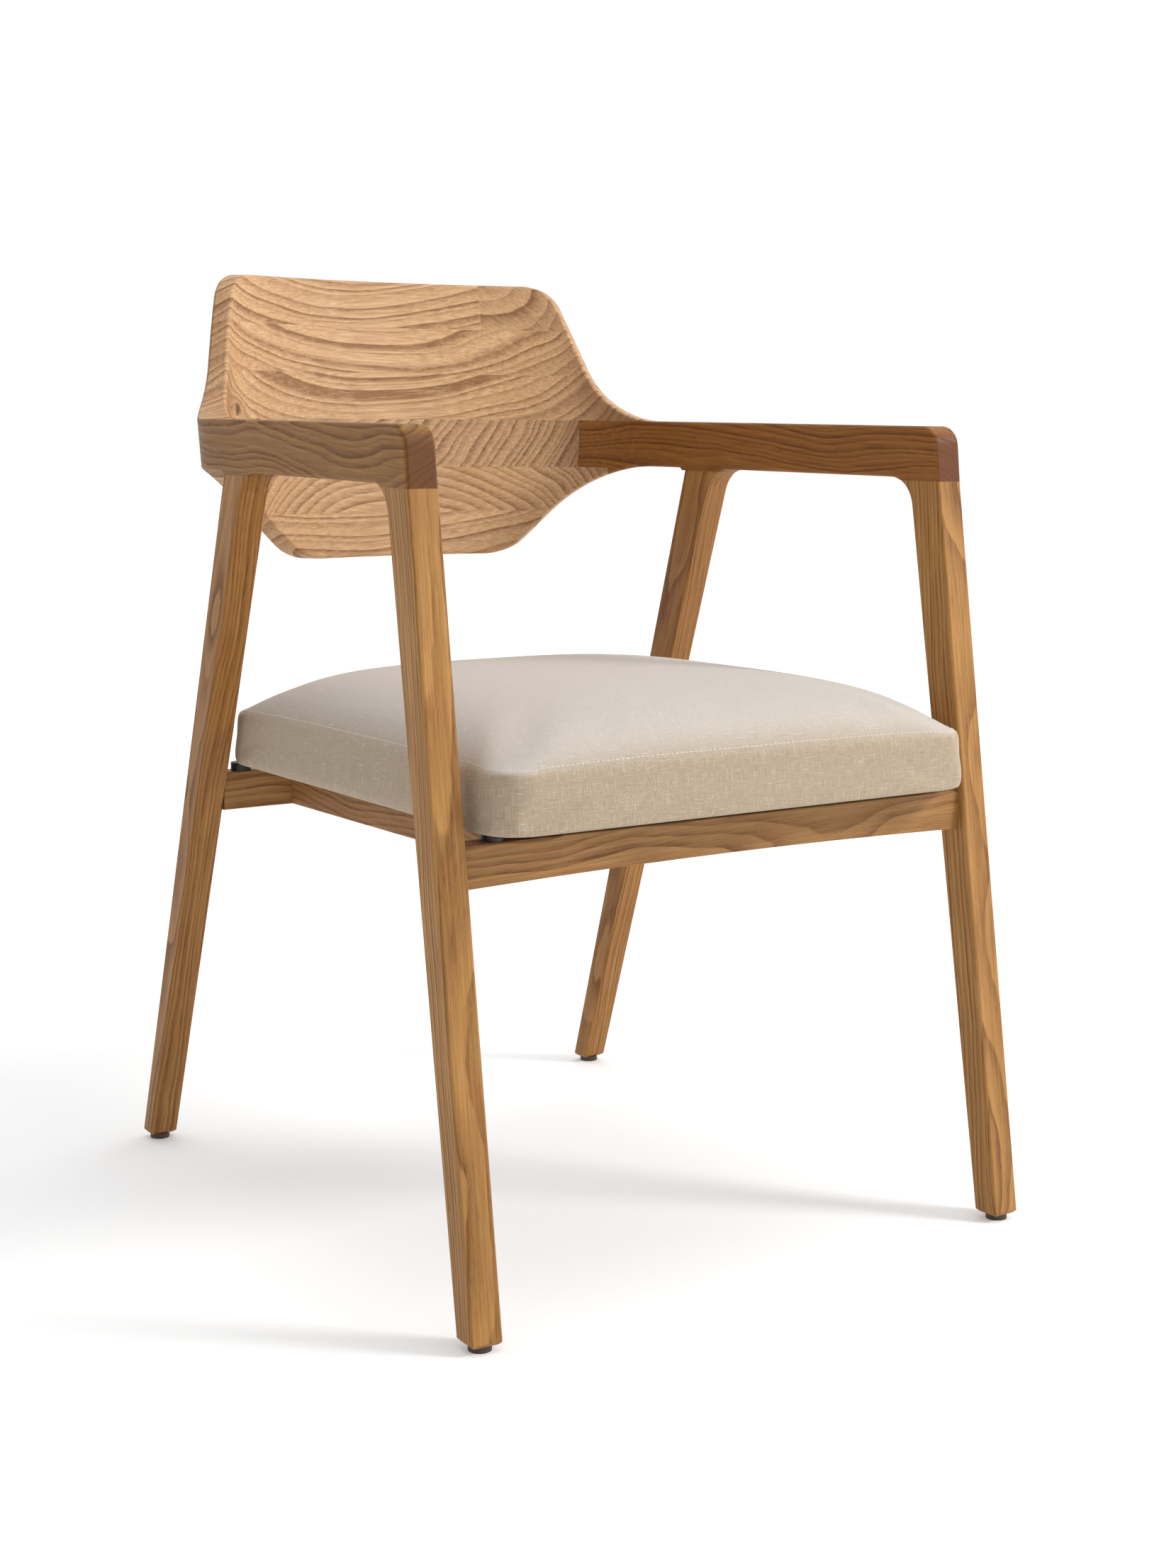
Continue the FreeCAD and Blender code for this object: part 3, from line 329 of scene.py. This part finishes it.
floor = bpy.data.objects.new("floor", bpy.data.meshes.new("floor"))
shape = bmesh.new()
bmesh.ops.create_grid(shape, x_segments=1, y_segments=1, size=14.0)
shape.to_mesh(floor.data)
shape.free()
scene.collection.objects.link(floor)
ground, graph, shader = new_material("floor_pale")
shader.inputs["Base Color"].default_value = (0.86, 0.86, 0.86, 1.0)
shader.inputs["Emission Color"].default_value = (1.0, 1.0, 1.0, 1.0)
# the floor glows with light of its own, weaker near the chair and stronger farther out, so the backdrop reads
# white while the shadows near the chair stay visible
away = graph.vector("LENGTH", graph.node("ShaderNodeTexCoord").outputs["Object"])
graph.feed(shader.inputs["Emission Strength"], graph.range(away, 0.5, 3.2, 0.22, 0.46, True))
shader.inputs["Roughness"].default_value = 0.9
shader.inputs["Specular IOR Level"].default_value = 0.0
floor.data.materials.append(ground)

world = bpy.data.worlds.new("studio")
scene.world = world
world.use_nodes = True
graph = Graph(world.node_tree)
outlook = graph.node("ShaderNodeTexCoord").outputs["Generated"]
bright_side = graph.vector("DOT_PRODUCT", outlook, (0.83, 0.55, 0.10))
graph.feed(world.node_tree.nodes["Background"].inputs[0], rgb((1.0, 1.0, 1.0)))
graph.feed(world.node_tree.nodes["Background"].inputs[1],
           graph.range(bright_side, -0.80, 0.60, 0.28, 1.03, True))


def area_light(name, place, aim, size_m, power, colour=(1.0, 1.0, 1.0)):
    lamp = bpy.data.lights.new(name, "AREA")
    lamp.shape = "DISK"
    lamp.size = size_m
    lamp.energy = power
    lamp.color = colour
    thing = bpy.data.objects.new(name, lamp)
    thing.location = place
    thing.rotation_euler = (Vector(aim) - Vector(place)).to_track_quat("-Z", "Y").to_euler()
    scene.collection.objects.link(thing)
    return thing


area_light("key", (2.2, -2.2, 2.3), (0.0, 0.0, 0.5), 0.9, 72.0, (1.0, 0.97, 0.93))
area_light("top", (0.1, -0.2, 3.2), (0.0, 0.0, 0.4), 2.0, 20.0, (0.94, 0.97, 1.0))
area_light("fill", (-2.8, -1.6, 1.6), (0.0, 0.0, 0.5), 2.4, 5.0, (0.98, 0.98, 1.0))

camera_data = bpy.data.cameras.new("view")
camera_data.sensor_fit = "VERTICAL"
camera_data.sensor_height = 36.0
camera_data.lens = 52.152
camera_data.clip_end = 60.0
camera = bpy.data.objects.new("view", camera_data)
camera.location = (-1.0729, -1.6734, 0.6601)
camera.rotation_euler = (math.radians(90.0 - 8.6133), 0.0, math.radians(-33.7031))
scene.collection.objects.link(camera)
scene.camera = camera
scene.view_settings.view_transform = "Standard"

# ---------------------------------------------------------------- seat cushion

SEAT_LOW, SEAT_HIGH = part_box("seat_cushion")
SEAM_Z = SEAT_LOW[2] + 0.0468
CREST = SEAT_HIGH[2] - SEAM_Z
FRONT_HALF = SEAT_HIGH[0] - 0.0005
REAR_HALF = FRONT_HALF - 0.0095
FRONT_CORNER = 0.034
REAR_CORNER = 0.024
SIDE_ROWS = 10
GRID = 88
SLACK = 0.0022          # the cover starts this far inside its outline, to leave room for the air
EXTRA_CREST = 0.0015    # the cover stands a little proud of the foam
UNDERSIDE = SEAT_LOW[2] - 0.0002
DUST_COVER_SHARE = 0.90
SIMULATION_FRAMES = 20
SETTLING_STEPS = 10
SLUB_ALONG = 75.0       # slubs per metre along a thread
SLUB_ACROSS = 1050.0    # and across it
STITCH, STITCH_GAP, STITCH_RADIUS = 0.0034, 0.0011, 0.00042
STAPLE, STAPLE_GAP, STAPLE_RADIUS = 0.0095, 0.0300, 0.00055


def rounded_outline(inset):
    """The seat outline's corner arcs: centre, first angle, last angle and radius of each."""
    front, rear = SEAT_LOW[1] + inset, SEAT_HIGH[1] - inset
    wide, narrow = FRONT_HALF - inset, REAR_HALF - inset
    corners = [Vector((wide, front)), Vector((narrow, rear)),
               Vector((-narrow, rear)), Vector((-wide, front))]
    arcs = []
    for i, corner in enumerate(corners):
        radius = (REAR_CORNER if i in (1, 2) else FRONT_CORNER) - inset
        back = (corners[i - 1] - corner).normalized()
        ahead = (corners[(i + 1) % 4] - corner).normalized()
        half = back.angle(ahead) / 2
        centre = corner + (back + ahead).normalized() * (radius / math.sin(half))
        begin = corner + back * (radius / math.tan(half)) - centre
        finish = corner + ahead * (radius / math.tan(half)) - centre
        arcs.append((centre, math.atan2(begin.y, begin.x), math.atan2(finish.y, finish.x), radius))
    return arcs


def side_points(arcs, count):
    """Points on the outline, count per side, each side running from one corner's middle to the next."""
    ring = []
    for i in range(4):
        centre, first, last, radius = arcs[i]
        other, other_first, other_last, other_radius = arcs[(i + 1) % 4]
        sweep = (last - first) % (2 * math.pi)
        path = []
        for k in range(25):
            angle = first + sweep * (0.5 + 0.5 * k / 24)
            path.append(centre + radius * Vector((math.cos(angle), math.sin(angle))))
        sweep = (other_last - other_first) % (2 * math.pi)
        for k in range(25):
            angle = other_first + sweep * (0.5 * k / 24)
            path.append(other + other_radius * Vector((math.cos(angle), math.sin(angle))))
        lengths = [0.0]
        for a, b in zip(path, path[1:]):
            lengths.append(lengths[-1] + (b - a).length)
        for k in range(count):
            want = lengths[-1] * k / count
            j = max(n for n in range(len(lengths)) if lengths[n] <= want + 1e-9)
            j = min(j, len(path) - 2)
            part = (want - lengths[j]) / max(lengths[j + 1] - lengths[j], 1e-9)
            ring.append(path[j].lerp(path[j + 1], part))
    return ring


def dome(u, v):
    """Rise of the top panel, 0 at the seam and 1 at the crest, for grid places from -1 to 1."""
    across = 1.0 - abs(u) ** 3.3
    along = 1.0 - abs(v) ** 3.6
    return max(across, 0.0) ** 0.52 * max(along, 0.0) ** 0.52


def seat_mesh(inset):
    """Closed seat shape: domed grid on top, boxing band and flat grid below."""
    count = GRID
    ring = side_points(rounded_outline(inset), count)
    middle = Vector((0.0, (SEAT_LOW[1] + SEAT_HIGH[1]) / 2))
    vertices, faces, spots = [], [], []

    def on_square(k):
        """Place on the unit square for a place along the ring, which starts at the front right corner."""
        side, part = divmod(k, count)
        along = -1.0 + 2.0 * part / count
        return ((1.0, along), (-along, 1.0), (-1.0, -along), (along, -1.0))[side]

    def panel(height, flip):
        """One square grid of points mapped on to the outline."""
        index = {}
        for i in range(count + 1):
            for j in range(count + 1):
                u, v = -1 + 2 * i / count, -1 + 2 * j / count
                reach = max(abs(u), abs(v))
                if reach < 1e-9:
                    flat = middle.copy()
                else:
                    edge = square_edge(u / reach, v / reach)
                    flat = middle + (edge - middle) * reach
                index[(i, j)] = len(vertices)
                vertices.append((flat.x, flat.y, height(u, v, reach)))
        for i in range(count):
            for j in range(count):
                quad = [index[(i, j)], index[(i + 1, j)], index[(i + 1, j + 1)], index[(i, j + 1)]]
                faces.append(quad[::-1] if flip else quad)
        return index

    def square_edge(u, v):
        """Outline point for a place on the edge of the unit square, between its two neighbours."""
        if abs(u) >= abs(v) - 1e-9:
            side, along = (0, v) if u > 0 else (2, -v)
        else:
            side, along = (1, -u) if v > 0 else (3, u)
        place = side * count + (along + 1) / 2 * count
        low = int(math.floor(place + 1e-9))
        return ring[low % (4 * count)].lerp(ring[(low + 1) % (4 * count)], max(place - low, 0.0))

    top = panel(lambda u, v, reach: SEAM_Z + (CREST + EXTRA_CREST) * dome(u, v), False)
    bottom = panel(lambda u, v, reach: UNDERSIDE, True)

    def ring_index(grid):
        order = []
        for k in range(4 * count):
            u, v = on_square(k)
            order.append(grid[(round((u + 1) / 2 * count), round((v + 1) / 2 * count))])
        return order

    upper, lower = ring_index(top), ring_index(bottom)
    rows = [upper]
    height = SEAM_Z - SEAT_LOW[2]
    for r in range(1, SIDE_ROWS):
        row = []
        for k in range(4 * count):
            row.append(len(vertices))
            vertices.append((ring[k].x, ring[k].y, SEAM_Z - height * r / SIDE_ROWS))
        rows.append(row)
    rows.append(lower)
    for a, b in zip(rows, rows[1:]):
        for k in range(4 * count):
            n = (k + 1) % (4 * count)
            faces.append([a[n], a[k], b[k], b[n]])
    return vertices, faces, rows, top, bottom


vertices, faces, rows, top_grid, bottom_grid = seat_mesh(SLACK)
seat_data = bpy.data.meshes.new("seat_cover")
seat_data.from_pydata(vertices, [], faces)
seat_data.update()
seat = bpy.data.objects.new("seat_cover", seat_data)
scene.collection.objects.link(seat)

# woven coordinates in metres: plan for the top and bottom, run and height for the band
weave = seat_data.uv_layers.new(name="weave")
run_of = {}
for row in rows:
    travelled = 0.0
    for k, index in enumerate(row):
        if k:
            a, b = vertices[rows[1][k - 1]], vertices[rows[1][k]]
            travelled += math.dist(a, b)
        run_of[index] = travelled
whole = travelled
top_ids = set(top_grid.values())
bottom_ids = set(bottom_grid.values())
band_start = GRID * GRID * 2
for polygon in seat_data.polygons:
    band = polygon.index >= band_start
    for loop in polygon.loop_indices:
        v = seat_data.loops[loop].vertex_index
        x, y, z = vertices[v]
        if band:
            run = run_of[v]
            if polygon.index % (4 * GRID) == (band_start + 4 * GRID - 1) % (4 * GRID) and run < whole / 2:
                run += whole
            weave.data[loop].uv = (run, z)
        else:
            weave.data[loop].uv = (x, y)


def inflate(thing, held, pressure, cap):
    """Blow the closed mesh up a little with cloth, then keep the result within cap of where it began."""
    start = [v.co.copy() for v in thing.data.vertices]
    group = thing.vertex_groups.new(name="held")
    group.add(held, 1.0, "REPLACE")
    cloth = thing.modifiers.new("cloth", "CLOTH")
    settings = cloth.settings
    settings.quality = 5
    settings.mass = 0.25
    settings.tension_stiffness = 12
    settings.compression_stiffness = 12
    settings.shear_stiffness = 6
    settings.bending_stiffness = 2.0
    settings.use_pressure = True
    settings.uniform_pressure_force = pressure
    settings.vertex_group_mass = "held"
    settings.effector_weights.gravity = 0.0
    cloth.collision_settings.use_collision = False
    cloth.point_cache.frame_start = 1
    cloth.point_cache.frame_end = SIMULATION_FRAMES
    for step in range(1, SIMULATION_FRAMES + 1):
        scene.frame_set(step)
    depsgraph = bpy.context.evaluated_depsgraph_get()
    moved = [v.co.copy() for v in thing.evaluated_get(depsgraph).to_mesh().vertices]
    thing.evaluated_get(depsgraph).to_mesh_clear()
    thing.modifiers.remove(cloth)
    scene.frame_set(1)
    for vertex, before, after in zip(thing.data.vertices, start, moved):
        shift = after - before
        if shift.length > cap:
            shift *= cap / shift.length
        vertex.co = before + shift
    thing.data.update()


inflate(seat, sorted(bottom_ids), 4.0, 0.004)

# even out the top of the pad, as foam does under the cloth
NEIGHBOURS = ((1, 0), (-1, 0), (0, 1), (0, -1))
for _ in range(SETTLING_STEPS):
    settled = {}
    for (i, j), index in top_grid.items():
        if 0 < i < GRID and 0 < j < GRID:
            around = [seat_data.vertices[top_grid[(i + a, j + b)]].co for a, b in NEIGHBOURS]
            settled[index] = seat_data.vertices[index].co * 0.5 + sum(around, Vector()) * 0.125
    for index, place in settled.items():
        seat_data.vertices[index].co = place

# draw the seam in, round the lower edge under, and keep the band a little slack between them
outline_middle = Vector((0.0, (SEAT_LOW[1] + SEAT_HIGH[1]) / 2, 0.0))
for r, row in enumerate(rows):
    share = r / SIDE_ROWS
    for k, index in enumerate(row):
        vertex = seat_data.vertices[index]
        out = Vector((vertex.co.x, vertex.co.y - outline_middle.y, 0.0))
        before, after = rows[r][k - 1], rows[r][(k + 1) % len(row)]
        tangent = seat_data.vertices[after].co - seat_data.vertices[before].co
        normal = Vector((tangent.y, -tangent.x, 0.0)).normalized()
        if normal.dot(out) < 0:
            normal.negate()
        wave = noise.noise(Vector((run_of[index] * 9.0, share * 1.7, 4.2)))
        push = 0.0012 * math.sin(math.pi * share) + 0.0007 * wave * math.sin(math.pi * share)
        if r == 0:
            push -= 0.0011
        if share > 0.80:
            push -= 0.0022 * ((share - 0.80) / 0.20) ** 2
        vertex.co += normal * push
seat_data.update()
for polygon in seat_data.polygons:
    polygon.use_smooth = True
smooth = seat.modifiers.new("smooth", "SUBSURF")
smooth.levels = 1
smooth.render_levels = 1
seat_eval = seat.evaluated_get(bpy.context.evaluated_depsgraph_get())


def fabric(name):
    """Oatmeal linen: two crossing threads with slubs, soft sheen, fine relief, and painted light that makes
    upward faces paler.
    """
    material, graph, shader = new_material(name)
    uv = graph.node("ShaderNodeUVMap", uv_map="weave").outputs[0]
    parts = graph.node("ShaderNodeSeparateXYZ")
    graph.feed(parts.inputs[0], uv)
    u, v = parts.outputs[0], parts.outputs[1]
    wobble = graph.noise(uv, 120.0, 2.0, 0.5)
    shift = graph.math("MULTIPLY", graph.math("SUBTRACT", wobble, 0.5), 0.0010)
    thread = 0.00125
    warp = graph.math("SINE", graph.math("MULTIPLY", graph.math("ADD", u, shift), 2 * math.pi / thread))
    weft = graph.math("SINE", graph.math("MULTIPLY", graph.math("ADD", v, shift), 2 * math.pi / thread))
    cross = graph.math("MULTIPLY", warp, weft)
    along_u = graph.combine(graph.math("MULTIPLY", u, SLUB_ALONG), graph.math("MULTIPLY", v, SLUB_ACROSS), 0.0)
    along_v = graph.combine(graph.math("MULTIPLY", u, SLUB_ACROSS), graph.math("MULTIPLY", v, SLUB_ALONG), 5.0)
    slub_u = graph.noise(along_u, 1.0, 2.0, 0.55)
    slub_v = graph.noise(along_v, 1.0, 2.0, 0.55)
    slubs = graph.math("ADD", graph.range(slub_u, 0.56, 0.78, 0.0, 1.0, True),
                       graph.range(slub_v, 0.56, 0.78, 0.0, 1.0, True))
    dark_u = graph.range(slub_u, 0.22, 0.42, 1.0, 0.0, True)
    dark_v = graph.range(slub_v, 0.22, 0.42, 1.0, 0.0, True)
    mottle = graph.noise(uv, 900.0, 2.0, 0.6)
    cloudy = graph.noise(uv, 14.0, 3.0, 0.5)
    base = graph.mix(graph.range(mottle, 0.25, 0.75, 0.0, 1.0), rgb((0.415, 0.318, 0.222)),
                     rgb((0.560, 0.450, 0.330)))
    base = graph.mix(graph.math("MULTIPLY", slubs, 0.75, clamp=True), base, rgb((0.800, 0.720, 0.600)))
    base = graph.mix(graph.math("MULTIPLY", graph.math("ADD", dark_u, dark_v), 0.70, clamp=True), base,
                     rgb((0.290, 0.205, 0.130)))
    base = graph.mix(graph.range(cross, -1.0, 1.0, 0.20, 0.0), base, rgb((0.330, 0.260, 0.190)))
    base = graph.mix(graph.range(cloudy, 0.35, 0.70, 0.0, 0.12), base, rgb((0.470, 0.385, 0.290)))
    # painted light: faces turned upward are mixed toward pale grey, so the top of the seat reads lighter as if
    # lit from above
    normal = graph.node("ShaderNodeNewGeometry").outputs["Normal"]
    upward_for_painted_light = graph.vector("DOT_PRODUCT", normal, (0.0, 0.0, 1.0))
    base = graph.mix(graph.range(upward_for_painted_light, 0.30, 0.95, 0.0, 0.50, True), base, rgb((0.765, 0.755, 0.750)))
    graph.feed(shader.inputs["Base Color"], base)
    graph.feed(shader.inputs["Roughness"], graph.range(mottle, 0.2, 0.8, 0.86, 0.97))
    shader.inputs["Sheen Weight"].default_value = 0.22
    shader.inputs["Sheen Roughness"].default_value = 0.45
    shader.inputs["Sheen Tint"].default_value = (1.0, 0.96, 0.90, 1.0)
    shader.inputs["Specular IOR Level"].default_value = 0.15
    relief = graph.math("MULTIPLY_ADD", slubs, 0.5, graph.math("MULTIPLY", cross, 0.35))
    relief = graph.math("MULTIPLY_ADD", mottle, 0.5, relief)
    bump = graph.node("ShaderNodeBump")
    bump.inputs["Strength"].default_value = 0.75
    bump.inputs["Distance"].default_value = 0.0006
    graph.feed(bump.inputs["Height"], relief)
    graph.feed(shader.inputs["Normal"], bump.outputs[0])
    return material


def dust_cover(name):
    """Thin dark non-woven cloth under the seat."""
    material, graph, shader = new_material(name)
    place = graph.node("ShaderNodeTexCoord").outputs["Object"]
    felt = graph.noise(place, 420.0, 4.0, 0.7)
    dimple = graph.node("ShaderNodeTexVoronoi")
    graph.feed(dimple.inputs["Vector"], place)
    dimple.inputs["Scale"].default_value = 520.0
    tone = graph.mix(felt, rgb((0.012, 0.012, 0.013)), rgb((0.060, 0.058, 0.056)))
    graph.feed(shader.inputs["Base Color"], tone)
    graph.feed(shader.inputs["Roughness"], graph.range(felt, 0.2, 0.8, 0.75, 0.95))
    bump = graph.node("ShaderNodeBump")
    bump.inputs["Strength"].default_value = 0.4
    bump.inputs["Distance"].default_value = 0.0003
    graph.feed(bump.inputs["Height"], dimple.outputs["Distance"])
    graph.feed(shader.inputs["Normal"], bump.outputs[0])
    return material


seat_data.materials.append(fabric("oatmeal_linen"))
seat_data.materials.append(dust_cover("dust_cover"))
for polygon in seat_data.polygons:
    if GRID * GRID <= polygon.index < 2 * GRID * GRID:
        cell = polygon.index - GRID * GRID
        i, j = divmod(cell, GRID)
        reach = max(abs(-1 + 2 * (i + 0.5) / GRID), abs(-1 + 2 * (j + 0.5) / GRID))
        polygon.material_index = 1 if reach < DUST_COVER_SHARE else 0
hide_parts("seat_cushion", "seat_panel")
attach(seat, "root")


def thread_material(name):
    material, graph, shader = new_material(name)
    place = graph.node("ShaderNodeTexCoord").outputs["Object"]
    twist = graph.noise(place, 2600.0, 2.0, 0.5)
    tone = graph.mix(twist, rgb((0.66, 0.58, 0.47)), rgb((0.86, 0.80, 0.70)))
    graph.feed(shader.inputs["Base Color"], tone)
    graph.feed(shader.inputs["Roughness"], graph.range(twist, 0.2, 0.8, 0.55, 0.75))
    shader.inputs["Sheen Weight"].default_value = 0.2
    return material


def stitch_run(name, path, length, gap, radius, sink):
    """A closed line of separate stitches, each a plump little capsule laid along the path."""
    shape = bmesh.new()
    total = 0.0
    marks = [0.0]
    loop = path + [path[0]]
    for (a, _), (b, _) in zip(loop, loop[1:]):
        total += (b - a).length
        marks.append(total)

    def at(distance):
        distance %= total
        low, high = 0, len(marks) - 1
        while high - low > 1:
            mid = (low + high) // 2
            if marks[mid] <= distance:
                low = mid
            else:
                high = mid
        part = (distance - marks[low]) / max(marks[low + 1] - marks[low], 1e-9)
        a, b = loop[low], loop[low + 1]
        return a[0].lerp(b[0], part), a[1].lerp(b[1], part).normalized()

    pieces = int(total / (length + gap))
    pitch = total / pieces
    for i in range(pieces):
        start = i * pitch
        rings = []
        for share, scale, dive in ((0.0, 0.35, 1.0), (0.15, 0.85, 0.35), (0.5, 1.0, 0.0),
                                   (0.85, 0.85, 0.35), (1.0, 0.35, 1.0)):
            here, up = at(start + length * share)
            ahead = at(start + length * share + 0.0004)[0]
            along = (ahead - here).normalized()
            side = along.cross(up).normalized()
            centre = here + up * (radius * 0.35 - sink * dive)
            ring = []
            for k in range(6):
                angle = 2 * math.pi * k / 6
                spoke = side * math.cos(angle) + up * math.sin(angle)
                ring.append(shape.verts.new(centre + spoke * radius * scale))
            rings.append(ring)
        for a, b in zip(rings, rings[1:]):
            for k in range(6):
                shape.faces.new((a[k], a[(k + 1) % 6], b[(k + 1) % 6], b[k]))
        shape.faces.new(rings[0][::-1])
        shape.faces.new(rings[-1])
    data = bpy.data.meshes.new(name)
    bmesh.ops.recalc_face_normals(shape, faces=shape.faces)
    shape.to_mesh(data)
    shape.free()
    for polygon in data.polygons:
        polygon.use_smooth = True
    thing = bpy.data.objects.new(name, data)
    scene.collection.objects.link(thing)
    return thing


fine = bpy.data.meshes.new_from_object(seat_eval)
stitch_path = []
ring_points = [seat_data.vertices[i].co.copy() for i in rows[0]]
tree = BVHTree.FromPolygons([v.co for v in fine.vertices], [tuple(p.vertices) for p in fine.polygons])
for k, point in enumerate(ring_points):
    inward = Vector((-point.x, outline_middle.y - point.y, 0.0)).normalized()
    before, after = ring_points[k - 1], ring_points[(k + 1) % len(ring_points)]
    tangent = (after - before).normalized()
    normal = Vector((tangent.y, -tangent.x, 0.0)).normalized()
    if normal.dot(inward) < 0:
        normal.negate()
    probe = point + normal * 0.0030
    hit, face_normal, _, _ = tree.ray_cast(Vector((probe.x, probe.y, SEAM_Z + 0.05)), Vector((0, 0, -1)))
    stitch_path.append((hit, face_normal))
stitches = stitch_run("seat_topstitch", stitch_path, STITCH, STITCH_GAP, STITCH_RADIUS, 0.0005)
stitches.data.materials.append(thread_material("linen_thread"))
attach(stitches, "root")
bpy.data.meshes.remove(fine)

staple_path = [(Vector((p.x, p.y, UNDERSIDE)), Vector((0.0, 0.0, -1.0)))
               for p in side_points(rounded_outline(0.015), GRID)]
staples = stitch_run("seat_staples", staple_path, STAPLE, STAPLE_GAP, STAPLE_RADIUS, 0.0012)
staples.data.materials.append(steel("staple_steel"))
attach(staples, "root")
